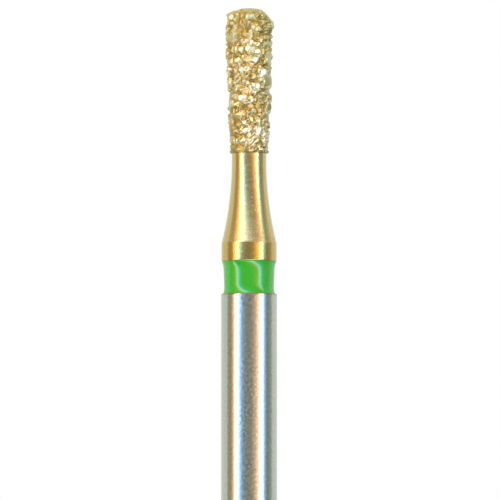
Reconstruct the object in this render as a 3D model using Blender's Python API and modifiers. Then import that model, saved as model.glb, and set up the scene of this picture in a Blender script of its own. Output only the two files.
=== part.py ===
"""A friction-grip dental bur: one turned steel blank with a plated neck, a lacquered colour ring and a diamond head."""

import math
import random

import bmesh
import bpy
from mathutils import Quaternion, Vector

MM = 0.001

# Lengths along the axis, upwards from the shank's end face
SHANK_LENGTH = 10.815 * MM
GROOVE_WIDTH = 0.93 * MM
COLLAR_LENGTH = 0.52 * MM
NECK_LAND_LENGTH = 0.19 * MM
HEAD_LENGTH = 4.08 * MM

# Diameters of the finished surfaces, the head's without its grit
SHANK_DIAMETER = 1.6 * MM
COLLAR_DIAMETER = 1.576 * MM
NECK_DIAMETER = 0.986 * MM
HEAD_DIAMETER = 1.19 * MM
HEAD_BASE_DIAMETER = 1.01 * MM
TIP_FLAT_DIAMETER = 0.33 * MM

# Curves and edge breaks
NECK_FLARE_RADIUS = 9.7 * MM
SHANK_END_RADIUS = 0.2 * MM
SHANK_TOP_BREAK = 0.02 * MM
COLLAR_EDGE_BREAK = 0.012 * MM

# Groove and the lacquer in it
GROOVE_DEPTH = 0.12 * MM
LACQUER_THICKNESS = 0.038 * MM
LACQUER_EDGE_INSET = 0.014 * MM
MENISCUS_HEIGHT = 0.13 * MM

# Layers on the blank, and the gap between each layer and the steel
PLATING_THICKNESS = 0.01 * MM
BOND_THICKNESS = 0.085 * MM
FIT_GAP = 0.003 * MM

# Grit: the pitch is the side of the square that each grain has to itself
GRAIN_SIZE = 0.21 * MM
GRAIN_PITCH = 0.215 * MM
GRAIN_SIZE_SPREAD = 0.2
GRAIN_STRETCH = 0.25
CUBIC_SHARE = 0.45
GRAIN_PROTRUSION = 0.072 * MM
GRAIN_PROTRUSION_SPREAD = 0.028 * MM
GRAIN_SEED = 11

# Facets
TURNED_STEPS = 40
BOND_STEPS = 24
FLARE_STEPS = 6
CORNER_STEPS = 5
MENISCUS_STEPS = 3
SHARP_ANGLE = math.radians(28)
MERGE_DISTANCE = 0.0001 * MM
GOLDEN_ANGLE = math.pi * (3 - math.sqrt(5))

# Heights that follow from the lengths above
FLARE_RISE = (COLLAR_DIAMETER - NECK_DIAMETER) / 2
FLARE_LENGTH = math.sqrt(2 * NECK_FLARE_RADIUS * FLARE_RISE - FLARE_RISE**2)
GROOVE_TOP = SHANK_LENGTH + GROOVE_WIDTH
COLLAR_TOP = GROOVE_TOP + COLLAR_LENGTH
FLARE_TOP = COLLAR_TOP + FLARE_LENGTH
HEAD_BASE = FLARE_TOP + NECK_LAND_LENGTH
HEAD_TIP = HEAD_BASE + HEAD_LENGTH


def clear_scene():
    for obj in list(bpy.data.objects):
        bpy.data.objects.remove(obj, do_unlink=True)


def linear(channel):
    """One sRGB channel, 0 to 1, as linear light."""
    return channel / 12.92 if channel <= 0.04045 else ((channel + 0.055) / 1.055) ** 2.4


def make_material(name, srgb, roughness, metallic, coat=0.0):
    material = bpy.data.materials.new(name)
    material.use_nodes = True
    shader = material.node_tree.nodes["Principled BSDF"]
    colour = [linear((srgb >> shift & 255) / 255) for shift in (16, 8, 0)]
    shader.inputs["Base Color"].default_value = (*colour, 1)
    shader.inputs["Roughness"].default_value = roughness
    shader.inputs["Metallic"].default_value = metallic
    shader.inputs["Coat Weight"].default_value = coat
    material.diffuse_color = (*colour, 1)
    return material


def arc_points(centre, radius, start, end, steps):
    """Points on a circular arc in the profile's plane; the angles run from straight out towards straight up."""
    points = []
    for step in range(steps + 1):
        angle = start + (end - start) * step / steps
        points.append((centre[0] + radius * math.cos(angle), centre[1] + radius * math.sin(angle)))
    return points


def neck_profile(inset):
    """The neck and collar from the head's base down to the groove, drawn in by a layer's thickness."""
    neck = NECK_DIAMETER / 2 - inset
    collar = COLLAR_DIAMETER / 2 - inset
    flare_centre = (NECK_DIAMETER / 2 + NECK_FLARE_RADIUS - inset, FLARE_TOP)
    flare_end = math.pi + math.asin(FLARE_LENGTH / NECK_FLARE_RADIUS)
    flare = arc_points(flare_centre, NECK_FLARE_RADIUS, math.pi, flare_end, FLARE_STEPS)
    edge = [(collar, GROOVE_TOP + COLLAR_EDGE_BREAK), (collar - COLLAR_EDGE_BREAK, GROOVE_TOP)]
    return [(neck, HEAD_BASE), *flare, *edge]


def head_profile(inset):
    """The head from its tip to its base: a flat tip, a round corner, then a straight taper that meets the arc."""
    tip_flat = TIP_FLAT_DIAMETER / 2
    corner = HEAD_DIAMETER / 2 - tip_flat - inset
    base = HEAD_BASE_DIAMETER / 2 - inset
    centre = (tip_flat, HEAD_TIP - inset - corner)
    across = centre[0] - base
    up = centre[1] - HEAD_BASE
    taper = math.atan2(across, up) + math.asin(corner / math.hypot(across, up))
    corner_points = arc_points(centre, corner, math.pi / 2, -taper, CORNER_STEPS)
    return [(0, HEAD_TIP - inset), *corner_points, (base, HEAD_BASE)]


def blank_profile():
    """The bare steel from the head's core down to the shank's end face."""
    shank = SHANK_DIAMETER / 2
    groove_floor = shank - GROOVE_DEPTH
    end_centre = (shank - SHANK_END_RADIUS, SHANK_END_RADIUS)
    shank_end = arc_points(end_centre, SHANK_END_RADIUS, 0, -math.pi / 2, CORNER_STEPS)
    groove = [(groove_floor, GROOVE_TOP), (groove_floor, SHANK_LENGTH)]
    shank_top = [(shank - SHANK_TOP_BREAK, SHANK_LENGTH), (shank, SHANK_LENGTH - SHANK_TOP_BREAK)]
    return [
        *head_profile(BOND_THICKNESS),
        *neck_profile(PLATING_THICKNESS),
        *groove,
        *shank_top,
        *shank_end,
        (0, 0),
    ]


def plating_profile():
    """The closed section of the plating on the neck and collar."""
    return neck_profile(0) + neck_profile(PLATING_THICKNESS - FIT_GAP)[::-1]


def ring_profile():
    """The closed section of the lacquer: it creeps up both walls of the groove as it dries."""
    floor = SHANK_DIAMETER / 2 - GROOVE_DEPTH
    waist = floor + LACQUER_THICKNESS
    top = GROOVE_TOP - FIT_GAP
    bottom = SHANK_LENGTH + FIT_GAP
    upper_edge = COLLAR_DIAMETER / 2 - COLLAR_EDGE_BREAK - LACQUER_EDGE_INSET
    lower_edge = SHANK_DIAMETER / 2 - SHANK_TOP_BREAK - LACQUER_EDGE_INSET
    upper = []
    lower = []
    for step in range(MENISCUS_STEPS + 1):
        share = step / MENISCUS_STEPS
        creep = (1 - share) ** 2
        upper.append((waist + (upper_edge - waist) * creep, top - MENISCUS_HEIGHT * share))
        lower.append((waist + (lower_edge - waist) * creep, bottom + MENISCUS_HEIGHT * share))
    return [*upper, *lower[::-1], (floor + FIT_GAP, bottom), (floor + FIT_GAP, top)]


def bond_profile():
    """The outside of the bond, run on past the head's base so that the trimmer cuts its lower edge."""
    outside = head_profile(0)
    base = outside[-1]
    return [*outside, (base[0], base[1] - BOND_THICKNESS), (0, base[1] - BOND_THICKNESS)]


def trimmer_profile():
    """What is cut away from bond and grit: the steel core's room, and all that hangs below the head's base."""
    core = head_profile(BOND_THICKNESS - FIT_GAP)
    seat = HEAD_BASE + FIT_GAP
    reach = HEAD_DIAMETER / 2 + GRAIN_SIZE
    below = HEAD_BASE - BOND_THICKNESS - GRAIN_SIZE
    return [*core[:-1], (core[-1][0], seat), (reach, seat), (reach, below), (0, below)]


def turn(name, profile, collection, closed=False, steps=TURNED_STEPS):
    """An object turned about Z from a profile at +X that runs down its outer side."""
    mesh = bpy.data.meshes.new(name)
    edges = [(i, i + 1) for i in range(len(profile) - 1)]
    if closed:
        edges.append((len(profile) - 1, 0))
    mesh.from_pydata([(r, 0, z) for r, z in profile], edges, [])
    obj = bpy.data.objects.new(name, mesh)
    collection.objects.link(obj)
    screw = obj.modifiers.new("turned", "SCREW")
    screw.steps = steps
    screw.render_steps = steps
    screw.use_merge_vertices = True
    screw.merge_threshold = MERGE_DISTANCE
    return obj


def apply_modifiers(obj):
    graph = bpy.context.evaluated_depsgraph_get()
    mesh = bpy.data.meshes.new_from_object(obj.evaluated_get(graph))
    obj.modifiers.clear()
    obj.data = mesh
    mesh.name = obj.name


def finish(obj, material, parent):
    """Applies the modifiers, shades the round faces smooth and leaves the edges sharp."""
    apply_modifiers(obj)
    obj.data.shade_smooth()
    obj.data.set_sharp_from_angle(angle=SHARP_ANGLE)
    obj.data.materials.clear()
    obj.data.materials.append(material)
    obj.parent = parent


def spread_over(profile, count):
    """Points spread evenly by area over a turned surface, each as radius, height and outward normal."""
    bands = []
    for upper, lower in zip(profile, profile[1:]):
        length = math.dist(upper, lower)
        bands.append((upper, lower, length, length * (upper[0] + lower[0]) / 2))
    total = sum(band[3] for band in bands)
    placed = []
    passed = 0.0
    index = 0
    for number in range(count):
        wanted = total * (number + 0.5) / count
        while passed + bands[index][3] < wanted:
            passed += bands[index][3]
            index += 1
        upper, lower, length, area = bands[index]
        share = (wanted - passed) / area
        radius = upper[0] + (lower[0] - upper[0]) * share
        height = upper[1] + (lower[1] - upper[1]) * share
        normal = ((upper[1] - lower[1]) / length, (lower[0] - upper[0]) / length)
        placed.append((radius, height, normal))
    return placed


def grit_spots():
    """Where each grain meets the bond: a point and an outward normal, wound round the head by the golden angle."""
    profile = head_profile(0)
    area = sum(
        math.pi * math.dist(upper, lower) * (upper[0] + lower[0]) for upper, lower in zip(profile, profile[1:])
    )
    spots = []
    for number, (radius, height, normal) in enumerate(spread_over(profile, round(area / GRAIN_PITCH**2))):
        angle = number * GOLDEN_ANGLE
        outward = Vector((math.cos(angle), math.sin(angle), 0))
        point = outward * radius + Vector((0, 0, height))
        spots.append((point, outward * normal[0] + Vector((0, 0, normal[1]))))
    return spots


def random_turn(dice):
    """A rotation with no favoured direction."""
    parts = [dice.gauss(0, 1) for _ in range(4)]
    return Quaternion(parts).normalized()


def add_grain(grit, dice, spot, normal):
    """One diamond in either habit it grows in, a cube or an octahedron, stretched and tumbled."""
    size = GRAIN_SIZE * dice.uniform(1 - GRAIN_SIZE_SPREAD, 1 + GRAIN_SIZE_SPREAD)
    if dice.random() < CUBIC_SHARE:
        corners = bmesh.ops.create_cube(grit, size=size / math.sqrt(2))["verts"]
    else:
        corners = bmesh.ops.create_uvsphere(grit, u_segments=4, v_segments=2, radius=size / math.sqrt(3))["verts"]
    stretch = Vector([dice.uniform(1 - GRAIN_STRETCH, 1 + GRAIN_STRETCH) for _ in range(3)])
    tumble = random_turn(dice)
    for vert in corners:
        vert.co = tumble @ (vert.co * stretch)
    proud = GRAIN_PROTRUSION + dice.uniform(-1, 1) * GRAIN_PROTRUSION_SPREAD
    crest = max(vert.co.dot(normal) for vert in corners)
    for vert in corners:
        vert.co += spot + normal * (proud - crest)


def make_grit(collection):
    """All grains in one helper object, which the bond then takes in."""
    dice = random.Random(GRAIN_SEED)
    grit = bmesh.new()
    for spot, normal in grit_spots():
        add_grain(grit, dice, spot, normal)
    mesh = bpy.data.meshes.new("grit")
    grit.to_mesh(mesh)
    grit.free()
    obj = bpy.data.objects.new("grit", mesh)
    collection.objects.link(obj)
    return obj


def add_boolean(obj, other, operation):
    modifier = obj.modifiers.new(operation.lower(), "BOOLEAN")
    modifier.operation = operation
    modifier.object = other
    modifier.use_self = operation == "UNION"
    other.hide_render = True
    other.display_type = "WIRE"


def make_coating(parts, cutters):
    """The bond with its grains grown into it, hollowed for the steel core and trimmed at the head's base."""
    coating = turn("diamond_coating", bond_profile(), parts, steps=BOND_STEPS)
    grit = make_grit(cutters)
    trimmer = turn("trimmer", trimmer_profile(), cutters)
    add_boolean(coating, grit, "UNION")
    add_boolean(coating, trimmer, "DIFFERENCE")
    return coating


def main():
    clear_scene()
    parts = bpy.data.collections.new("diamond_bur")
    cutters = bpy.data.collections.new("cutters")
    bpy.context.scene.collection.children.link(parts)
    bpy.context.scene.collection.children.link(cutters)

    bur = bpy.data.objects.new("bur_axis", None)
    bur.empty_display_size = SHANK_DIAMETER
    parts.objects.link(bur)

    steel = make_material("ground stainless steel", 0xB9BAB2, 0.22, 1.0)
    plating = make_material("gold-coloured plating", 0xC6B376, 0.24, 1.0)
    lacquer = make_material("green lacquer", 0x3FB832, 0.12, 0.0, coat=0.5)
    grit = make_material("plated diamond grit", 0xCDB671, 0.2, 1.0)

    finish(turn("blank", blank_profile(), parts), steel, bur)
    finish(turn("neck_plating", plating_profile(), parts, closed=True), plating, bur)
    finish(turn("colour_ring", ring_profile(), parts, closed=True), lacquer, bur)
    finish(make_coating(parts, cutters), grit, bur)


main()
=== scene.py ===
import math

import bpy
import numpy as np
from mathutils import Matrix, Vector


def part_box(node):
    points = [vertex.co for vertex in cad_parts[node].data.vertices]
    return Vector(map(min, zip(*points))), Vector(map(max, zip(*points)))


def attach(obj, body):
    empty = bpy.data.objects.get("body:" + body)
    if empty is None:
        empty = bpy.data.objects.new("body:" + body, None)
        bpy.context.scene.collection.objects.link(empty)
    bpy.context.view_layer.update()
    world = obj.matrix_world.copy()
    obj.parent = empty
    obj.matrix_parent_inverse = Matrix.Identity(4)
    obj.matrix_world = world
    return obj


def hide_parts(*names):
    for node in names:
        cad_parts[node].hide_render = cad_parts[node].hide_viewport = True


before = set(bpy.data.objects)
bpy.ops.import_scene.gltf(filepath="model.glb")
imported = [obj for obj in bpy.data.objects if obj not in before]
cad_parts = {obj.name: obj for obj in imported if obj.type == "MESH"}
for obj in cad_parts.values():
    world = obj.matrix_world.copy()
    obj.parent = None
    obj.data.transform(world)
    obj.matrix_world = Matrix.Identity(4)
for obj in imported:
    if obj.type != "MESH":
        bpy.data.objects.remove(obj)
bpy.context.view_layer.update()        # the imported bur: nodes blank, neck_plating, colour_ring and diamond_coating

mm = 0.001
backGap = 0.003        # what every layer keeps clear of the steel under it, in millimetres

# places that every piece shares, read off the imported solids, in millimetres
blankBox, sleeveBox, ringBox, coatBox = [
    [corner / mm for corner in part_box(node)]
    for node in ("blank", "neck_plating", "colour_ring", "diamond_coating")
]
shankRadius = blankBox[1].x
shankTop = ringBox[0].z
grooveTop = sleeveBox[0].z
collarRadius = sleeveBox[1].x
headBase = sleeveBox[1].z
print("stage 1: frame read, head base at", round(headBase, 3), "mm")


# a colour written as sRGB hex, turned linear: v / 12.92 up to 0.04045, ((v + 0.055) / 1.055) to the 2.4 above
def linearColour(hexCode):
    parts = [int(hexCode[i:i + 2], 16) / 255 for i in (1, 3, 5)]
    return (*[v / 12.92 if v <= 0.04045 else ((v + 0.055) / 1.055) ** 2.4 for v in parts], 1.0)


# adds one node: settings are its properties, inputs are values or the sockets that feed them. A Mix node's
# sockets go by number, because their names repeat: 2 and 3 are its numbers, 6 and 7 its colours
def addNode(tree, kind, inputs=None, **settings):
    node = tree.nodes.new(kind)
    for name, value in settings.items():
        setattr(node, name, value)
    for name, value in (inputs or {}).items():
        if isinstance(value, bpy.types.NodeSocket):
            tree.links.new(value, node.inputs[name])
        else:
            node.inputs[name].default_value = value
    return node


# a material with its shader, fixed values on the shader's own sockets
def startMaterial(name, values):
    material = bpy.data.materials.new(name)
    material.use_nodes = True
    tree = material.node_tree
    shader = tree.nodes["Principled BSDF"]
    for socket, value in values.items():
        shader.inputs[socket].default_value = value
    return material, tree, shader


# metal turned or ground round its axis: its highlights are drawn out lengthwise
turnedShine = {"Metallic": 1.0, "Anisotropic": 0.9, "Anisotropic Rotation": 0.25}


# a noise texture's scale for features of a given width, because object coordinates are in metres
def perFeature(widthMm):
    return 1 / (widthMm * mm)


# points on an arc: centre plus radius times the cosine and sine of evenly spaced angles, in degrees
def arcPoints(centre, radius, start, end, count):
    angles = np.radians(np.linspace(start, end, count))
    return np.column_stack((centre[0] + radius * np.cos(angles), centre[1] + radius * np.sin(angles)))


# a straight line with one more point close to each end, which keeps smooth shading inside the corners
def straightRun(start, end, inset=0.006):
    start, end = np.array(start, float), np.array(end, float)
    step = (end - start) * inset / np.linalg.norm(end - start)
    return np.array((start, start + step, end - step, end))


# a grid (row, column) made a mesh: quads between neighbours, and the last column joins the first. Rows run
# down the outer side. Two poles close the open ends with fans; without them the last row joins the first
def gridMesh(name, points, poles=None):
    rows, columns = points.shape[:2]
    index = np.arange(rows * columns).reshape(rows, columns)
    upper = index[:-1] if poles else index
    lower = index[1:] if poles else np.roll(index, -1, axis=0)
    quads = np.stack((upper, lower, np.roll(lower, -1, axis=1), np.roll(upper, -1, axis=1)), axis=-1)
    vertices = points.reshape(-1, 3)
    faces = quads.reshape(-1, 4).tolist()
    if poles:
        vertices = np.vstack((vertices, poles))
        top = np.full(columns, len(vertices) - 2)
        bottom = np.full(columns, len(vertices) - 1)
        faces += np.stack((top, index[0], np.roll(index[0], -1)), axis=-1).tolist()
        faces += np.stack((bottom, np.roll(index[-1], -1), index[-1]), axis=-1).tolist()
    mesh = bpy.data.meshes.new(name)
    mesh.from_pydata(vertices * mm, [], faces)
    mesh.shade_smooth()
    return mesh


# a profile turned about the axis: (r, z) becomes (r cos a, r sin a, z) for angles a all the way round
def turnedGrid(radii, heights, columns):
    angles = np.linspace(0, 2 * np.pi, columns, endpoint=False)
    level = np.outer(heights, np.ones(columns))
    return np.stack((np.outer(radii, np.cos(angles)), np.outer(radii, np.sin(angles)), level), axis=-1)


# a turned piece: a closed section makes a ring, and an open outline a solid that ends on the axis
def turnedMesh(name, profile, solid=False, columns=256):
    poles = [(0, 0, profile[0, 1]), (0, 0, profile[-1, 1])] if solid else None
    return gridMesh(name, turnedGrid(profile[:, 0], profile[:, 1], columns), poles)


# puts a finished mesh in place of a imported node
def placePiece(name, mesh, material, node):
    piece = bpy.data.objects.new(name, mesh)
    bpy.context.scene.collection.objects.link(piece)
    mesh.materials.append(material)
    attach(piece, "root")
    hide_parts(node)
    print("placed", name, "with", len(mesh.polygons), "faces")


# the neck, the flare and the collar: one outline, gold-plated
neck = dict(
    diameter=0.986,                     # the plain stretch under the head
    flareRadius=9.7,                    # one arc from the neck to the collar's edge
    collarLength=0.52,
    edgeBreak=0.024,                    # radius of the collar's lower edge
    platingThickness=0.01,
    collarRoughness=0.195,
    footRoughness=0.285, neckRoughness=0.215,       # of the flare, at its foot and from roughRise above that
    roughRise=1.3,
    ringRelief=0.003, pitRelief=0.003,              # height of the turning rings, depth of the pits
    ringWidth=0.08, threadWidth=0.035, pitWidth=0.05, patchWidth=0.3,
    flatness=0.12,                                  # height of a ring's streaks over their length
    ringSwing=0.025, pitSwing=0.035,                # how far rings and pits change the roughness
    threadSwing=0.04,                               # and the finest rings the brightness
    swingSpan=(0.35, 0.65),                         # the noise at the ends of each swing
    fewest=0.15,                                    # least share, rings at the neck and pits at the foot
    collarTint="#BFA75B", flareTint="#C6B884", patchTint="#C4AE6A",
    nibTint="#E4E0C8", nibPitch=0.1, nibRadius=0.018,
)


# the neck's outer outline drawn in by a layer: straight, then an arc that leaves it smoothly and meets the
# collar at an edge, then straight down the collar
def neckOutline(inset):
    radius = neck["diameter"] / 2 - inset
    collar = collarRadius - inset
    rise = collar - radius
    length = math.sqrt(2 * neck["flareRadius"] * rise - rise ** 2)
    collarTop = grooveTop + neck["collarLength"]
    sweep = math.degrees(math.asin(length / neck["flareRadius"]))
    centre = (radius + neck["flareRadius"], collarTop + length)
    flare = arcPoints(centre, neck["flareRadius"], 180, 180 + sweep, 49)
    land = straightRun((radius, headBase), (radius, collarTop + length))
    corner = neck["edgeBreak"]
    foot = arcPoints((collar - corner, grooveTop + corner), corner, 0, -90, 7)
    side = straightRun((collar, collarTop), foot[0])
    return np.vstack((land[:-1], flare, side[1:-1], foot))


# the head without its grit
head = dict(
    length=4.08,
    diameter=1.19,
    baseDiameter=1.01,
    tipFlatDiameter=0.33,
    bondThickness=0.085,
)


# the bond's outline drawn in by a layer: flat tip, round corner, then a straight taper that touches the
# corner's arc
def headOutline(inset):
    flat = head["tipFlatDiameter"] / 2
    corner = head["diameter"] / 2 - flat - inset
    base = head["baseDiameter"] / 2 - inset
    tip = headBase + head["length"] - inset
    across, up = flat - base, tip - corner - headBase
    taper = math.degrees(math.atan2(across, up) + math.asin(corner / math.hypot(across, up)))
    arc = arcPoints((flat, tip - corner), corner, 90, -taper, 40)
    return np.vstack(([(0, tip)], arc, [(base, headBase)]))


# the steel blank: one turned piece from the head's core to the shank's end
shank = dict(
    endRadius=0.2,
    endInset=0.01,                      # one more point here keeps smooth shading off the flat end
    topBreak=0.02,
    grooveDepth=0.12,
    markWidth=0.042, markDepth=0.0015,
    markRuns=((42, 2.6), (-36, 2.2)),   # the grinding marks' slants, in degrees, and lengths over widths
    smoothest=0.155, roughest=0.235,
    lowTint="#A7AFA8", highTint="#BFC1B2",          # in the marks and between them
    roughSpan=(0.85, 1.2), tintSpan=(0.82, 1.18),   # the sums of the marks' two noises at those ends
    patchTint="#B3B9AC", patchWidth=0.5, patchShare=0.7,
    patchSpan=(0.3, 0.7),                           # the noise where a patch begins and where it is full
    rimShadeTint="#8C7440", rimShadeDepth=0.05,               # painted dark gold shade at the shank's upper edge, under the ring
)


# the blank's outline from the top of the core down to the shank's flat end
def blankProfile():
    core = headOutline(head["bondThickness"])
    grooveFloor = shankRadius - shank["grooveDepth"]
    lip = arcPoints(
        (shankRadius - shank["topBreak"], shankTop - shank["topBreak"]), shank["topBreak"], 90, 0, 6)
    end = arcPoints((shankRadius - shank["endRadius"], shank["endRadius"]), shank["endRadius"], 0, -90, 17)
    return np.vstack((
        core[1:],
        neckOutline(neck["platingThickness"]),
        straightRun((grooveFloor, grooveTop), (grooveFloor, shankTop)),
        lip,
        straightRun(lip[-1], end[0])[1:-1],
        end,
        [(end[-1][0] - shank["endInset"], 0)],
    ))


# the round surface rolled out flat: (radius times the angle, height), in metres; the angle's step is behind
def rolledOut(tree, radius):
    place = addNode(tree, "ShaderNodeTexCoord").outputs["Object"]
    split = addNode(tree, "ShaderNodeSeparateXYZ", {"Vector": place})
    front = addNode(tree, "ShaderNodeMath", {0: split.outputs["Y"], 1: -1.0}, operation="MULTIPLY")
    angle = addNode(tree, "ShaderNodeMath", {0: split.outputs["X"], 1: front.outputs[0]}, operation="ARCTAN2")
    around = addNode(tree, "ShaderNodeMath", {0: angle.outputs[0], 1: radius * mm}, operation="MULTIPLY")
    return addNode(tree, "ShaderNodeCombineXYZ", {"X": around.outputs[0], "Y": split.outputs["Z"]}).outputs[0]


# nibs of dust: the share of the scattered points that carry none, and how much of the colour a nib hides
dust = dict(bare=0.4, cover=0.55)


# a colour with a few pale nibs in it: where the distance to the nearest of some scattered points is small,
# and that point's own random value is high
def dusted(tree, place, colour, finish):
    pitch = finish["nibPitch"]
    cells = addNode(tree, "ShaderNodeTexVoronoi", {"Vector": place, "Scale": perFeature(pitch)})
    chosen = addNode(tree, "ShaderNodeSeparateColor", {"Color": cells.outputs["Color"]})
    size = addNode(tree, "ShaderNodeMapRange", {
        "Value": chosen.outputs[0], "From Min": dust["bare"], "To Max": finish["nibRadius"] / pitch,
    })
    nib = addNode(tree, "ShaderNodeMath", {
        0: cells.outputs["Distance"], 1: size.outputs[0],
    }, operation="LESS_THAN")
    share = addNode(tree, "ShaderNodeMath", {0: nib.outputs[0], 1: dust["cover"]}, operation="MULTIPLY")
    return addNode(tree, "ShaderNodeMix", {
        "Factor": share.outputs[0], 6: colour, 7: linearColour(finish["nibTint"]),
    }, data_type="RGBA").outputs[2]


# Centreless-ground stainless steel: long crisp reflections down the shank, broken up by short slanting
# grinding marks, slightly green-grey in white light, with painted dark gold shade at the shank's upper edge
def groundSteel():
    material, tree, shader = startMaterial("ground stainless steel", turnedShine)
    place = addNode(tree, "ShaderNodeTexCoord").outputs["Object"]
    marks = []
    unrolled = rolledOut(tree, shankRadius)
    for slant, squeeze in shank["markRuns"]:
        turned = addNode(tree, "ShaderNodeMapping", {
            "Vector": unrolled, "Rotation": (0, 0, math.radians(slant)), "Scale": (squeeze, 1, 1),
        }, vector_type="TEXTURE")
        marks.append(addNode(tree, "ShaderNodeTexNoise", {
            "Vector": turned.outputs[0], "Scale": perFeature(shank["markWidth"]), "Detail": 1.0,
        }).outputs[0])
    both = addNode(tree, "ShaderNodeMath", {0: marks[0], 1: marks[1]}, operation="ADD").outputs[0]
    bump = addNode(tree, "ShaderNodeBump", {
        "Height": both, "Distance": shank["markDepth"] * mm, "Strength": 1.0,
    })
    rough = addNode(tree, "ShaderNodeMapRange", {
        "Value": both, "From Min": shank["roughSpan"][0], "From Max": shank["roughSpan"][1],
        "To Min": shank["smoothest"], "To Max": shank["roughest"],
    })
    contrast = addNode(tree, "ShaderNodeMapRange", {
        "Value": both, "From Min": shank["tintSpan"][0], "From Max": shank["tintSpan"][1],
    })
    marked = addNode(tree, "ShaderNodeMix", {
        "Factor": contrast.outputs[0],
        6: linearColour(shank["lowTint"]), 7: linearColour(shank["highTint"]),
    }, data_type="RGBA")
    patches = addNode(tree, "ShaderNodeTexNoise", {
        "Vector": place, "Scale": perFeature(shank["patchWidth"]), "Detail": 2.0,
    })
    share = addNode(tree, "ShaderNodeMapRange", {
        "Value": patches.outputs[0], "From Min": shank["patchSpan"][0], "From Max": shank["patchSpan"][1],
        "To Max": shank["patchShare"],
    })
    patched = addNode(tree, "ShaderNodeMix", {
        "Factor": share.outputs[0], 6: marked.outputs[2], 7: linearColour(shank["patchTint"]),
    }, data_type="RGBA")
    height = addNode(tree, "ShaderNodeSeparateXYZ", {"Vector": place}).outputs["Z"]
    # painted shade: the steel's colour goes over to a dark gold towards the shank's upper edge
    rim = addNode(tree, "ShaderNodeMapRange", {
        "Value": height, "From Min": (shankTop - shank["rimShadeDepth"]) * mm, "From Max": shankTop * mm,
    })
    rimShaded = addNode(tree, "ShaderNodeMix", {
        "Factor": rim.outputs[0], 6: patched.outputs[2], 7: linearColour(shank["rimShadeTint"]),
    }, data_type="RGBA")
    tree.links.new(rimShaded.outputs[2], shader.inputs["Base Color"])
    tree.links.new(rough.outputs[0], shader.inputs["Roughness"])
    tree.links.new(bump.outputs[0], shader.inputs["Normal"])
    return material


blankMesh = turnedMesh("turned_blank", blankProfile(), solid=True)
placePiece("turned_blank", blankMesh, groundSteel(), "blank")


# Gold-coloured plating over turned steel: satin, with fine level rings left by the turning tool that draw
# each highlight out into level streaks, most at the flare's foot, and with fine pits and a few pale nibs
def platedGold():
    material, tree, shader = startMaterial("gold plating over turned steel", turnedShine)
    place = addNode(tree, "ShaderNodeTexCoord").outputs["Object"]
    level = addNode(tree, "ShaderNodeMapping", {
        "Vector": place, "Scale": (neck["flatness"], neck["flatness"], 1),
    }).outputs[0]
    noises = []
    for vector, width, detail in ((level, neck["ringWidth"], 2.0), (level, neck["threadWidth"], 1.0),
                                  (place, neck["pitWidth"], 1.0), (place, neck["patchWidth"], 2.0)):
        noises.append(addNode(tree, "ShaderNodeTexNoise", {
            "Vector": vector, "Scale": perFeature(width), "Detail": detail,
        }).outputs[0])
    rings, threads, specks, patches = noises
    swings = []
    for noise, name in ((rings, "ringSwing"), (threads, "threadSwing"), (specks, "pitSwing")):
        swings.append(addNode(tree, "ShaderNodeMapRange", {
            "Value": noise, "From Min": neck["swingSpan"][0], "From Max": neck["swingSpan"][1],
            "To Min": -neck[name], "To Max": neck[name],
        }).outputs[0])
    streak, bright, pitted = swings
    height = addNode(tree, "ShaderNodeSeparateXYZ", {"Vector": place}).outputs["Z"]
    collarTop = (grooveTop + neck["collarLength"]) * mm
    flare = addNode(tree, "ShaderNodeMapRange", {
        "Value": height, "From Min": collarTop, "From Max": collarTop + neck["roughRise"] * mm,
        "To Min": neck["footRoughness"], "To Max": neck["neckRoughness"],
    })
    onFlare = addNode(tree, "ShaderNodeMath", {0: height, 1: collarTop}, operation="GREATER_THAN").outputs[0]
    worked = addNode(tree, "ShaderNodeMix", {
        "Factor": onFlare, 2: neck["collarRoughness"], 3: flare.outputs[0],
    }, data_type="FLOAT").outputs[0]
    shares = []
    for atNeck, atFoot in ((neck["fewest"], 1.0), (1.0, neck["fewest"])):
        shares.append(addNode(tree, "ShaderNodeMapRange", {
            "Value": worked, "From Min": neck["neckRoughness"], "From Max": neck["footRoughness"],
            "To Min": atNeck, "To Max": atFoot,
        }).outputs[0])
    ringShare, pitShare = shares
    pits = addNode(tree, "ShaderNodeMath", {0: pitted, 1: pitShare}, operation="MULTIPLY")
    streaked = addNode(tree, "ShaderNodeMath", {0: worked, 1: streak}, operation="ADD")
    rough = addNode(tree, "ShaderNodeMath", {0: streaked.outputs[0], 1: pits.outputs[0]}, operation="ADD")
    relief = addNode(tree, "ShaderNodeMath", {0: rings, 1: ringShare}, operation="MULTIPLY")
    turning = addNode(tree, "ShaderNodeBump", {
        "Height": relief.outputs[0], "Distance": neck["ringRelief"] * mm, "Strength": 1.0,
    })
    bump = addNode(tree, "ShaderNodeBump", {
        "Height": specks, "Distance": neck["pitRelief"] * mm, "Strength": 1.0, "Normal": turning.outputs[0],
    })
    plated = addNode(tree, "ShaderNodeMix", {
        "Factor": onFlare, 6: linearColour(neck["collarTint"]), 7: linearColour(neck["flareTint"]),
    }, data_type="RGBA")
    varied = addNode(tree, "ShaderNodeMix", {
        "Factor": patches, 6: plated.outputs[2], 7: linearColour(neck["patchTint"]),
    }, data_type="RGBA")
    drawn = addNode(tree, "ShaderNodeMath", {0: bright, 1: ringShare}, operation="MULTIPLY")
    gain = addNode(tree, "ShaderNodeMath", {0: drawn.outputs[0], 1: 1.0}, operation="ADD")
    tint = addNode(tree, "ShaderNodeVectorMath", {
        0: varied.outputs[2], "Scale": gain.outputs[0],
    }, operation="SCALE")
    tree.links.new(dusted(tree, place, tint.outputs[0], neck), shader.inputs["Base Color"])
    tree.links.new(rough.outputs[0], shader.inputs["Roughness"])
    tree.links.new(bump.outputs[0], shader.inputs["Normal"])
    return material


# the plating's closed section: down the neck's outline, and back up along the same outline drawn in
def sleeveProfile():
    inner = neckOutline(neck["platingThickness"] - backGap)
    return np.vstack((neckOutline(0), inner[::-1]))


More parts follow.
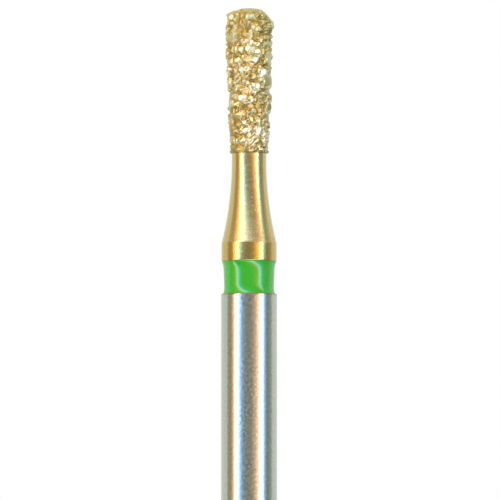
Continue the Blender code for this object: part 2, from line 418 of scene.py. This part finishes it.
sleeveMesh = turnedMesh("gold_sleeve", sleeveProfile())
placePiece("gold_sleeve", sleeveMesh, platedGold(), "neck_plating")


# the lacquer in the groove: thin in the middle, creeping up both walls in a curve
ring = dict(
    thickness=0.0258,
    topCreep=0.3, topHollow=3.1,        # height of the curve at the collar, and its power
    footCreep=0.25, footHollow=2.5,     # and at the shank
    cone=0.03,                          # how much wider it is at its upper end, apart from the curves
    topInset=0.0045, footInset=0.048,   # how far inside the collar's and the shank's radius it ends
    tints=("#2EA61F", "#35A424"), roughness=(0.2, 0.3), cloudWidth=0.45,
    ripple=0.002,                       # height of the gloss coat's slow waves
    nibTint="#8CC89C", nibPitch=0.34, nibRadius=0.024,
)


# the section: a slight cone, and a curve at each wall that adds its gain times (1 - t) to the power hollow,
# where t goes from 0 at the wall to 1 at the curve's end
def ringProfile():
    floor = shankRadius - shank["grooveDepth"]
    waist = floor + ring["thickness"]
    top, foot = ringBox[1].z, ringBox[0].z
    share = np.linspace(0, 1, 24)
    topGain = collarRadius - ring["topInset"] - waist - ring["cone"]
    footGain = shankRadius - ring["footInset"] - waist
    upper = np.column_stack((topGain * (1 - share) ** ring["topHollow"], top - ring["topCreep"] * share))
    lower = np.column_stack((footGain * (1 - share) ** ring["footHollow"], foot + ring["footCreep"] * share))
    outer = np.vstack((upper, lower[::-1]))
    outer[:, 0] += waist + ring["cone"] * (outer[:, 1] - foot) / (top - foot)
    back = straightRun((floor + backGap, foot), (floor + backGap, top))
    return np.vstack((outer, back))


# Green stoving lacquer: deep even green under a clear gloss, with crisp curved reflections and a few pale
# nibs of dust
def greenLacquer():
    material, tree, shader = startMaterial("green gloss lacquer", {
        "Metallic": 0.0, "IOR": 1.5, "Specular IOR Level": 0.0,
        "Coat Weight": 1.0, "Coat Roughness": 0.03, "Coat IOR": 1.6,
    })
    place = addNode(tree, "ShaderNodeTexCoord").outputs["Object"]
    clouds = addNode(tree, "ShaderNodeTexNoise", {
        "Vector": place, "Scale": perFeature(ring["cloudWidth"]), "Detail": 2.0,
    }).outputs[0]
    low, high = [linearColour(tint) for tint in ring["tints"]]
    tint = addNode(tree, "ShaderNodeMix", {"Factor": clouds, 6: low, 7: high}, data_type="RGBA")
    rough = addNode(tree, "ShaderNodeMapRange", {
        "Value": clouds, "To Min": ring["roughness"][0], "To Max": ring["roughness"][1],
    })
    bump = addNode(tree, "ShaderNodeBump", {
        "Height": clouds, "Distance": ring["ripple"] * mm, "Strength": 1.0,
    })
    tree.links.new(dusted(tree, place, tint.outputs[2], ring), shader.inputs["Base Color"])
    tree.links.new(rough.outputs[0], shader.inputs["Roughness"])
    tree.links.new(bump.outputs[0], shader.inputs["Normal"])
    return material


ringMesh = turnedMesh("lacquer_ring", ringProfile())
placePiece("lacquer_ring", ringMesh, greenLacquer(), "colour_ring")


# the grit: crystals of two habits mixed, half sunk in the bond, under one skin of plating
grit = dict(
    rows=318, columns=300,              # about 0.013 mm between grid points
    pitch=0.172,                        # side of the square that each grain has to itself
    stray=0.34,                         # how far a grain strays from its even place, as a share of the pitch
    tipMargin=0.02, neckMargin=0.03,    # no grain's middle is nearer to the ends of the outline
    halfWidth=(0.05, 0.13),             # a grain's centre to its cube faces
    cornerCut=(0.78, 1.4),              # distance of the eight corner facets over that of the cube faces
    stretch=0.35,                       # share by which a grain is longer or shorter along each axis
    uneven=0.15,                        # share by which each facet's distance strays
    proud=0.075, proudSpread=0.035,     # how far the grains stand out of the bond
    flatten=0.85,                       # the plating evens the crystals' slopes to this share
    bulge=1.1,                          # and domes each facet with this radius
    plumpZone=0.9,                      # above the neck, grains are rounder, lower and fewer, by:
    plumpRounding=4, plumpSinking=0.35, plumpThinning=0.2,
    edgeRounding=0.004,                 # what the plating takes off the crystals' edges
    rootFillet=0.006,                   # and adds in the corners between them
    deepest=-40,                        # a skin this many fillets down counts for nothing
    steepest=0.16,                      # least cosine between a facet and the normal at its grain's centre
    leastLean=0.096,                    # and between a facet and the normal at any point
    reach=1.6,                          # a grain is worked out this far, over its largest facet distance
    edgeFade=0.05,                      # the skin comes down to the bond over this length at the head's base
    coreThinning=4,                     # the steel hides the inner wall, so it has every fourth outline point
    tipDome=1.2,                        # radius of the flat dome that levels off the grains on the tip
    wornTip=(2.1, 0.9),                 # how far below the tip wear sets in, and is at its full
    wornShine=0.45, wornRoughness=0.08,     # share of the shine that is then left, and roughness added
    boulderSlope=50,                    # a boulder's sides, in degrees off its top facet
    boulderTwist=20,                    # how far each side strays round the boulder, in degrees
    boulderShade=(0.4, 0.95),           # the shade of any other grain is from 0 to 1
    boulderClearing=1.2,                # no other grain's middle is nearer, over the boulder's half width
    tints=("#B29C4A", "#C4C184"),       # of grains of the lowest shade, with a thick skin, and of the highest
    roughness=(0.32, 0.45),             # likewise
    leastShine=0.5, shineSpan=(0.2, 0.7),   # the shine rises from its least to the full between these shades
    rootShadeTint="#A08A45", rootDepth=0.05,     # painted shade between the grains, fading out at this height over the bond
    seed=3,
)
goldenAngle = math.pi * (3 - math.sqrt(5))

# the largest grains and the deepest hollows, one by one: distance along the outline from the tip,
# degrees to the right of the front, half width round and along, height over the bond, and where the top facet
# looks, in degrees to the right and up
boulders = (
    (0.28, 5, 0.28, 0.12, 0.075, 5, 62),
    (0.20, -28, 0.08, 0.09, 0.085, -20, 57),
    (0.50, -88, 0.10, 0.10, 0.120, -66, 48),
    (0.60, -66, 0.07, 0.07, 0.100, -28, 2),
    (0.60, -4, 0.06, 0.05, 0.080, -27, 2),
    (0.45, 80, 0.22, 0.20, 0.055, 85, 45),
    (0.82, 85, 0.10, 0.09, 0.115, 85, 10),
    (0.95, 22, 0.08, 0.06, 0.080, 27, 2),
    (1.19, -50, 0.12, 0.13, 0.075, -58, 0),
    (1.34, 4, 0.07, 0.06, 0.075, 27, 0),
    (1.43, -11, 0.09, 0.06, 0.045, 0, -15),
    (1.54, -1, 0.08, 0.08, 0.085, -22, 5),
    (1.61, 21, 0.10, 0.07, 0.090, 25, -5),
    (1.62, -85, 0.08, 0.08, 0.090, -80, 0),
    (1.86, -33, 0.10, 0.06, 0.080, -22, 8),
    (1.88, -55, 0.08, 0.05, 0.080, -32, 0),
    (1.85, 14, 0.12, 0.07, 0.090, 27, 0),
    (1.98, 6, 0.13, 0.05, 0.030, 2, -18),
    (2.13, -20, 0.08, 0.06, 0.080, -26, 0),
    (2.20, 42, 0.11, 0.10, 0.100, 31, 2),
    (2.45, 58, 0.13, 0.14, 0.100, 48, 0),
    (2.60, 23, 0.08, 0.08, 0.080, 27, 0),
    (2.63, -2, 0.06, 0.10, 0.020, 0, -6),
    (2.88, 80, 0.06, 0.07, 0.105, 40, 0),
    (2.94, -23, 0.08, 0.08, 0.080, -26, 0),
    (3.05, -85, 0.14, 0.30, 0.035, -82, 0),
    (2.75, 84, 0.10, 0.12, 0.035, 84, 0),
    (3.10, 2, 0.06, 0.07, 0.020, 4, -4),
    (3.16, 72, 0.09, 0.12, 0.090, 45, -10),
    (3.45, 86, 0.10, 0.10, 0.035, 84, 0),
    (3.87, 28, 0.08, 0.13, 0.070, 27, 0),
    (3.87, -11, 0.09, 0.06, 0.065, -26, 0),
    (3.96, 50, 0.06, 0.06, 0.080, 32, 8),
    (4.25, 60, 0.06, 0.06, 0.070, 45, -5),
)


# the outline cut into even steps of its own length s; gives s, radius, height and the normal's two parts
def evenOutline():
    outline = headOutline(0)
    lengths = np.concatenate(([0], np.cumsum(np.linalg.norm(np.diff(outline, axis=0), axis=1))))
    s = np.linspace(lengths[-1] / grit["rows"], lengths[-1], grit["rows"])
    radius = np.interp(s, lengths, outline[:, 0])
    height = np.interp(s, lengths, outline[:, 1])
    along = np.column_stack((np.gradient(radius, s), np.gradient(height, s)))
    along /= np.linalg.norm(along, axis=1, keepdims=True)
    return s, radius, height, -along[:, 1], along[:, 0]


# a turn with no favoured direction, from four normal draws taken as a quaternion
def randomTurn(dice):
    draws = dice.normal(size=4)
    w, x, y, z = draws / np.linalg.norm(draws)
    return np.array((
        (1 - 2 * (y * y + z * z), 2 * (x * y - w * z), 2 * (x * z + w * y)),
        (2 * (x * y + w * z), 1 - 2 * (x * x + z * z), 2 * (y * z - w * x)),
        (2 * (x * z - w * y), 2 * (y * z + w * x), 1 - 2 * (x * x + y * y)),
    ))


# the facets of one crystal as outward normals and distances: six cube faces and eight corner facets
def crystalFacets(dice):
    size = dice.uniform(*grit["halfWidth"])
    cut = dice.uniform(*grit["cornerCut"])
    cube = np.vstack((np.eye(3), -np.eye(3)))
    corners = np.array([(a, b, c) for a in (-1, 1) for b in (-1, 1) for c in (-1, 1)]) / math.sqrt(3)
    distances = np.concatenate((np.full(6, size), np.full(8, size * cut)))
    distances *= 1 + dice.uniform(-1, 1, 14) * grit["uneven"]
    stretched = np.vstack((cube, corners)) / (1 + dice.uniform(-1, 1, 3) * grit["stretch"])
    scale = np.linalg.norm(stretched, axis=1)
    return stretched / scale[:, None] @ randomTurn(dice).T, distances / scale


# a boulder: a top facet that looks a given way, and six sides round an ellipse
def boulderFacets(dice, width, length, proud, right, up):
    right, up = math.radians(right), math.radians(up)
    top = np.array((math.sin(right) * math.cos(up), -math.cos(right) * math.cos(up), math.sin(up)))
    across = np.array((math.cos(right), math.sin(right), 0.0))
    twist = grit["boulderTwist"]
    turns = np.radians(60 * np.arange(6) + dice.uniform(-twist, twist, 6))
    spans = 1 / np.hypot(np.cos(turns) / width, np.sin(turns) / length)
    outwards = np.outer(np.cos(turns), across) + np.outer(np.sin(turns), np.cross(top, across))
    slope = math.radians(grit["boulderSlope"])
    sides = math.cos(slope) * top + math.sin(slope) * outwards
    distances = math.cos(slope) * proud + math.sin(slope) * spans
    return np.vstack((top, sides)), np.concatenate(([proud], distances))


# every grain: its place along and round, its facets and their distances, the height of its peak, where None
# leaves it as the facets give it, its shade, and how near the neck it is. Grain k lies where the turned area
# reaches (k + 0.5) / count, at k golden angles, and strays from there; none stands on a boulder
def allGrains(dice, s, radius):
    ownDice = np.random.default_rng(grit["seed"])
    for along, right, width, length, proud, faceRight, faceUp in boulders:
        facets, distances = boulderFacets(ownDice, width, length, proud, faceRight, faceUp)
        shade = ownDice.uniform(*grit["boulderShade"])
        yield along, math.radians(right - 90), facets, distances, None, shade, 0.0
    area = np.cumsum(radius) * 2 * np.pi * (s[1] - s[0])
    count = round(area[-1] / grit["pitch"] ** 2)
    taken = np.array([row[:4] for row in boulders])
    for number in range(count):
        facets, distances = crystalFacets(dice)
        stray = dice.uniform(-1, 1, 2) * grit["stray"] * grit["pitch"]
        proud = grit["proud"] + dice.uniform(-1, 1) * grit["proudSpread"]
        kept = dice.uniform()
        even = np.interp((number + 0.5) / count * area[-1], area, s)
        along = np.clip(even + stray[0], grit["tipMargin"], s[-1] - grit["neckMargin"])
        here = np.interp(along, s, radius)
        around = number * goldenAngle + stray[1] / max(here, grit["halfWidth"][0])
        nearNeck = np.clip(1 - (s[-1] - along) / grit["plumpZone"], 0, 1)
        turned = np.degrees(around) + 90 - taken[:, 1]
        gapRound = np.radians((turned + 180) % 360 - 180) * here
        gaps = np.hypot(gapRound / taken[:, 2], (along - taken[:, 0]) / taken[:, 3])
        if gaps.min() >= grit["boulderClearing"] and kept > grit["plumpThinning"] * nearNeck:
            peak = proud * (1 - grit["plumpSinking"] * nearNeck)
            yield along, around, facets, distances, peak, dice.uniform(), nearNeck


# height of the skin over the bond: for each grain the soft minimum over its facets of how far along the
# vertex's normal the facet's plane lies; over all grains and the bond the soft maximum
def gritHeights(points, normals, s):
    dice = np.random.default_rng(grit["seed"])
    piled = np.ones(points.shape[:2])
    highest = np.zeros(points.shape[:2])
    tone = np.full(points.shape[:2], 0.5)
    columns = points.shape[1]
    radius = np.hypot(points[:, 0, 0], points[:, 0, 1])
    for along, around, facets, distances, peak, shade, nearNeck in allGrains(dice, s, radius):
        row = np.argmin(abs(s - along))
        column = round(around / (2 * math.pi) * columns) % columns
        centre, outward = points[row, column], normals[row, column]
        reach = grit["reach"] * distances.max()
        rows = slice(*np.searchsorted(s, (along - reach, along + reach)))
        offset = points[rows] - centre
        near = (offset ** 2).sum(axis=-1) < reach ** 2
        offset, across = offset[near], normals[rows][near]
        facing = facets @ outward > grit["steepest"]
        lean = np.maximum(across @ facets[facing].T, grit["leastLean"])
        heights = (distances[facing] - offset @ facets[facing].T) / lean
        rounding = grit["edgeRounding"] * (1 + grit["plumpRounding"] * nearNeck)
        lowest = heights.min(axis=1, keepdims=True)
        height = lowest[:, 0] - rounding * np.log(np.exp((lowest - heights) / rounding).sum(axis=1))
        if peak is not None:
            height = (height - height.max()) * grit["flatten"] + peak
        height -= (offset ** 2).sum(axis=-1) / (2 * grit["bulge"])
        piled[rows][near] += np.exp(np.maximum(height / grit["rootFillet"], grit["deepest"]))
        wins = height > highest[rows][near]
        patch = tone[rows]
        patch[near] = np.where(wins, shade, patch[near])
        patch = highest[rows]
        patch[near] = np.where(wins, height, patch[near])
    return grit["rootFillet"] * np.log(piled), tone


# the coat: each point of the turned outline moves out along its normal by the skin's height, and the dome
# cuts the tip. The rows run down the skin and back up an inner wall, and a pole closes each end
def coatMesh():
    s, radius, height, outwardR, outwardZ = evenOutline()
    points = turnedGrid(radius, height, grit["columns"])
    normals = turnedGrid(outwardR, outwardZ, grit["columns"])
    raised, tone = gritHeights(points, normals, s)
    raised *= np.sqrt(np.clip((s[-1] - s) / grit["edgeFade"], 0, 1))[:, None]
    skin = points + normals * raised[..., None]
    dome = coatBox[1].z - (skin[..., :2] ** 2).sum(axis=-1) / (2 * grit["tipDome"])
    skin[..., 2] = np.minimum(skin[..., 2], dome)
    core = headOutline(head["bondThickness"] - backGap)[1:][::-grit["coreThinning"]]
    grid = np.vstack((skin, turnedGrid(core[:, 0], core[:, 1], grit["columns"])))
    tip = (0, 0, skin[0, :, 2].mean())
    mesh = gridMesh("grit_coat", grid, poles=[tip, (0, 0, core[-1, 1])])
    extra = np.zeros(len(mesh.vertices) - tone.size)
    for name, values in (("tone", tone), ("depth", raised)):
        attribute = mesh.attributes.new(name, "FLOAT", "POINT")
        attribute.data.foreach_set("value", np.concatenate((values.ravel(), extra)).astype(np.float32))
    return mesh


# Diamond grit under gold-coloured nickel plating: satin gold on every side, with small white glints where the
# diamond's own facets shine through the thin skin, painted brown shade between the crystals, and duller
# towards the worn tip
def platedGrit():
    material, tree, shader = startMaterial("plated diamond grit", {
        "Metallic": 1.0, "Coat Roughness": 0.07, "Coat IOR": 2.2,
    })
    tone = addNode(tree, "ShaderNodeAttribute", attribute_name="tone").outputs["Fac"]
    depth = addNode(tree, "ShaderNodeAttribute", attribute_name="depth").outputs["Fac"]
    thick, thin = [linearColour(tint) for tint in grit["tints"]]
    tint = addNode(tree, "ShaderNodeMix", {"Factor": tone, 6: thick, 7: thin}, data_type="RGBA")
    raised = addNode(tree, "ShaderNodeMapRange", {"Value": depth, "From Max": grit["rootDepth"]}).outputs[0]
    # painted shade: the colour darkens to the root tint between the grains, where the skin is low over the bond
    colour = addNode(tree, "ShaderNodeMix", {
        "Factor": raised, 6: linearColour(grit["rootShadeTint"]), 7: tint.outputs[2],
    }, data_type="RGBA")
    place = addNode(tree, "ShaderNodeTexCoord").outputs["Object"]
    height = addNode(tree, "ShaderNodeSeparateXYZ", {"Vector": place}).outputs["Z"]
    wear = []
    for plain, worn in ((1.0, grit["wornShine"]), (0.0, grit["wornRoughness"])):
        wear.append(addNode(tree, "ShaderNodeMapRange", {
            "Value": height, "From Min": (coatBox[1].z - grit["wornTip"][0]) * mm,
            "From Max": (coatBox[1].z - grit["wornTip"][1]) * mm, "To Min": plain, "To Max": worn,
        }).outputs[0])
    shineLeft, dulling = wear
    satin = addNode(tree, "ShaderNodeMapRange", {
        "Value": tone, "To Min": grit["roughness"][0], "To Max": grit["roughness"][1],
    })
    rough = addNode(tree, "ShaderNodeMath", {0: satin.outputs[0], 1: dulling}, operation="ADD")
    bare = addNode(tree, "ShaderNodeMapRange", {
        "Value": tone, "From Min": grit["shineSpan"][0], "From Max": grit["shineSpan"][1],
        "To Min": grit["leastShine"], "To Max": 1.0,
    })
    clear = addNode(tree, "ShaderNodeMath", {0: bare.outputs[0], 1: raised}, operation="MULTIPLY")
    shine = addNode(tree, "ShaderNodeMath", {0: clear.outputs[0], 1: shineLeft}, operation="MULTIPLY")
    tree.links.new(shine.outputs[0], shader.inputs["Coat Weight"])
    tree.links.new(colour.outputs[2], shader.inputs["Base Color"])
    tree.links.new(rough.outputs[0], shader.inputs["Roughness"])
    return material


placePiece("grit_coat", coatMesh(), platedGrit(), "diamond_coating")
print("stage 2: four pieces stand in for the packed nodes")


# the light: two tall strip lamps that lean to the right, a grey room in front, a white backdrop behind
studio = dict(
    lean=47,                            # degrees off upright
    lamps=(-42.5, 40.5),                # their middles in degrees round the leaning axis, 0 in front
    lampLight=6.0,
    lampMiddle=-0.1, lampReach=(0.8, 1.15),     # as sines: full as far as the first, faded out at the last
    # across a lamp: degrees from its middle, and the tint there; warm on the left and cool on the right
    lampTints=((-36, "#000000"), (-27, "#413333"), (-19.5, "#785A44"), (-14.4, "#9C6146"), (-11.3, "#C7754D"),
               (-8.3, "#DFA078"), (-5.3, "#E3D2D0"), (-2.6, "#E3E3FF"), (2, "#D9E3FF"), (5, "#A2CFEC"),
               (8, "#6BA5E0"), (11, "#4A79CC"), (14, "#335A9E"), (18, "#223858"), (23, "#101822"),
               (27, "#000000")),
    # the room: degrees from the left lamp, from the front and from the right lamp, and the tint there
    roomLeft=((-75, "#C4C6C4"), (-27, "#B4A47E"), (0, "#B4A47E"), (11, "#909EA4")),
    roomFront=((0, "#96988E"),),
    roomRight=((-17, "#B4A47E"), (0, "#909EA4"), (24, "#BCD0DE"), (33, "#909EA4"), (75, "#C4C6C4")),
    roomLight=(0.7, 1.5),               # at the room's floor and at its ceiling
    roomEnds=(-0.8, 0.8),               # where those begin, as sines
    backdropEdge=0.25, backdropBlur=0.015,      # the backdrop's rim, as a cosine off straight behind
    backdropSkew=0.062,                         # how much further it reaches on the left
)


# colour stops given by their bearing in degrees
def fillRamp(node, stops):
    elements = node.color_ramp.elements
    while len(elements) > 1:
        elements.remove(elements[-1])
    for number, (bearing, hexCode) in enumerate(sorted(stops)):
        stop = elements[0] if number == 0 else elements.new(0.5 + bearing / 360)
        stop.position = 0.5 + bearing / 360
        stop.color = linearColour(hexCode)


# the world's light by direction: the lamps and the room go round the leaning axis by their bearing
def studioWorld():
    world = bpy.data.worlds.new("studio")
    bpy.context.scene.world = world
    world.use_nodes = True
    tree = world.node_tree
    way = addNode(tree, "ShaderNodeTexCoord").outputs["Generated"]
    lean = math.radians(studio["lean"])
    directions = []
    for axis in ((math.cos(lean), 0, -math.sin(lean)), (math.sin(lean), 0, math.cos(lean)), (0, -1, 0),
                 (-studio["backdropSkew"], 1, 0)):
        directions.append(addNode(tree, "ShaderNodeVectorMath", {
            0: way, 1: axis,
        }, operation="DOT_PRODUCT").outputs["Value"])
    across, up, front, behind = directions
    bearing = addNode(tree, "ShaderNodeMath", {0: across, 1: front}, operation="ARCTAN2").outputs[0]
    turned = addNode(tree, "ShaderNodeMapRange", {
        "Value": bearing, "From Min": -math.pi, "From Max": math.pi,
    }).outputs[0]
    left, right = studio["lamps"]
    room = addNode(tree, "ShaderNodeValToRGB", {"Fac": turned})
    roomStops = []
    for middle, tints in ((left, studio["roomLeft"]), (0, studio["roomFront"]), (right, studio["roomRight"])):
        roomStops += [(middle + offset, tint) for offset, tint in tints]
    fillRamp(room, roomStops)
    lampRamp = addNode(tree, "ShaderNodeValToRGB", {"Fac": turned})
    lampStops = [(lamp + offset, tint) for lamp in (left, right) for offset, tint in studio["lampTints"]]
    fillRamp(lampRamp, lampStops)
    offMiddle = addNode(tree, "ShaderNodeMath", {0: up, 1: studio["lampMiddle"]}, operation="SUBTRACT")
    height = addNode(tree, "ShaderNodeMath", {0: offMiddle.outputs[0]}, operation="ABSOLUTE")
    inReach = addNode(tree, "ShaderNodeMapRange", {
        "Value": height.outputs[0], "From Min": studio["lampReach"][0], "From Max": studio["lampReach"][1],
        "To Min": studio["lampLight"], "To Max": 0.0,
    })
    lampGlow = addNode(tree, "ShaderNodeVectorMath", {
        0: lampRamp.outputs[0], "Scale": inReach.outputs[0],
    }, operation="SCALE")
    level = addNode(tree, "ShaderNodeSeparateXYZ", {0: way}).outputs["Z"]
    gain = addNode(tree, "ShaderNodeMapRange", {
        "Value": level, "From Min": studio["roomEnds"][0], "From Max": studio["roomEnds"][1],
        "To Min": studio["roomLight"][0], "To Max": studio["roomLight"][1],
    })
    roomGlow = addNode(tree, "ShaderNodeVectorMath", {
        0: room.outputs[0], "Scale": gain.outputs[0],
    }, operation="SCALE")
    glow = addNode(tree, "ShaderNodeVectorMath", {
        0: lampGlow.outputs[0], 1: roomGlow.outputs[0],
    }, operation="ADD")
    isBackdrop = addNode(tree, "ShaderNodeMapRange", {
        "Value": behind, "From Min": studio["backdropEdge"] - studio["backdropBlur"],
        "From Max": studio["backdropEdge"] + studio["backdropBlur"],
    })
    isCamera = addNode(tree, "ShaderNodeLightPath").outputs["Is Camera Ray"]
    white = addNode(tree, "ShaderNodeMath", {0: isBackdrop.outputs[0], 1: isCamera}, operation="MAXIMUM")
    colour = addNode(tree, "ShaderNodeMix", {
        "Factor": white.outputs[0], 6: glow.outputs[0], 7: (1, 1, 1, 1),
    }, data_type="RGBA")
    tree.links.new(colour.outputs[2], tree.nodes["Background"].inputs["Color"])


studioWorld()


# the floor: a pale board that fades into the white backdrop
floorBoard = dict(radius=160, fadeStart=25, fadeEnd=90, colour="#E2ECEA", sides=64)


# one flat face round the axis, at the height of the shank's end
def makeFloor():
    rim = arcPoints((0, 0), floorBoard["radius"], 0, 360, floorBoard["sides"] + 1)[:-1]
    mesh = bpy.data.meshes.new("floor")
    mesh.from_pydata(np.column_stack((rim, np.zeros(len(rim)))) * mm, [], [list(range(len(rim)))])
    floor = bpy.data.objects.new("floor", mesh)
    bpy.context.scene.collection.objects.link(floor)
    floor.visible_glossy = False        # the metal mirrors the studio, not the board under it
    mesh.materials.append(boardPaint())


# Matt white paint on board: plain and without gloss, with the bur's soft shadow, white where it fades out
def boardPaint():
    material, tree, shader = startMaterial("matt white board", {
        "Base Color": linearColour(floorBoard["colour"]), "Roughness": 0.8,
    })
    place = addNode(tree, "ShaderNodeTexCoord").outputs["Object"]
    distance = addNode(tree, "ShaderNodeVectorMath", {0: place}, operation="LENGTH").outputs["Value"]
    fade = addNode(tree, "ShaderNodeMapRange", {
        "Value": distance, "From Min": floorBoard["fadeStart"] * mm, "From Max": floorBoard["fadeEnd"] * mm,
    }, interpolation_type="SMOOTHSTEP")
    path = addNode(tree, "ShaderNodeLightPath")
    seen = path.outputs["Is Camera Ray"]
    for ray in ("Is Glossy Ray", "Is Transmission Ray"):
        seen = addNode(tree, "ShaderNodeMath", {0: seen, 1: path.outputs[ray]}, operation="ADD").outputs[0]
    share = addNode(tree, "ShaderNodeMath", {0: fade.outputs[0], 1: seen}, operation="MULTIPLY")
    white = addNode(tree, "ShaderNodeEmission", {"Color": (1, 1, 1, 1), "Strength": 1.0})
    mix = addNode(tree, "ShaderNodeMixShader", {
        0: share.outputs[0], 1: shader.outputs[0], 2: white.outputs[0],
    })
    tree.links.new(mix.outputs[0], tree.nodes["Material Output"].inputs["Surface"])
    return material


makeFloor()


# the camera: slightly below the parts it looks at, far off, with a long lens
view = dict(
    elevation=-3.5,
    distance=150,
    frameWidth=500 / 35.1,          # pixels across over pixels in a millimetre
    lookAt=(0.026, 0, 12.077),
    sensor=36,
)


def makeCamera():
    data = bpy.data.cameras.new("camera")
    data.sensor_width = view["sensor"]
    data.lens = view["sensor"] * view["distance"] / view["frameWidth"]
    data.clip_start = 0.01
    camera = bpy.data.objects.new("camera", data)
    bpy.context.scene.collection.objects.link(camera)
    tilt = math.radians(view["elevation"])
    back = np.array((0, -math.cos(tilt), math.sin(tilt)))
    camera.location = (np.array(view["lookAt"]) + back * view["distance"]) * mm
    camera.rotation_euler = (math.radians(90) - tilt, 0, 0)
    bpy.context.scene.camera = camera


makeCamera()
bpy.context.scene.view_settings.view_transform = "Standard"
print("stage 3: studio, board and camera set")
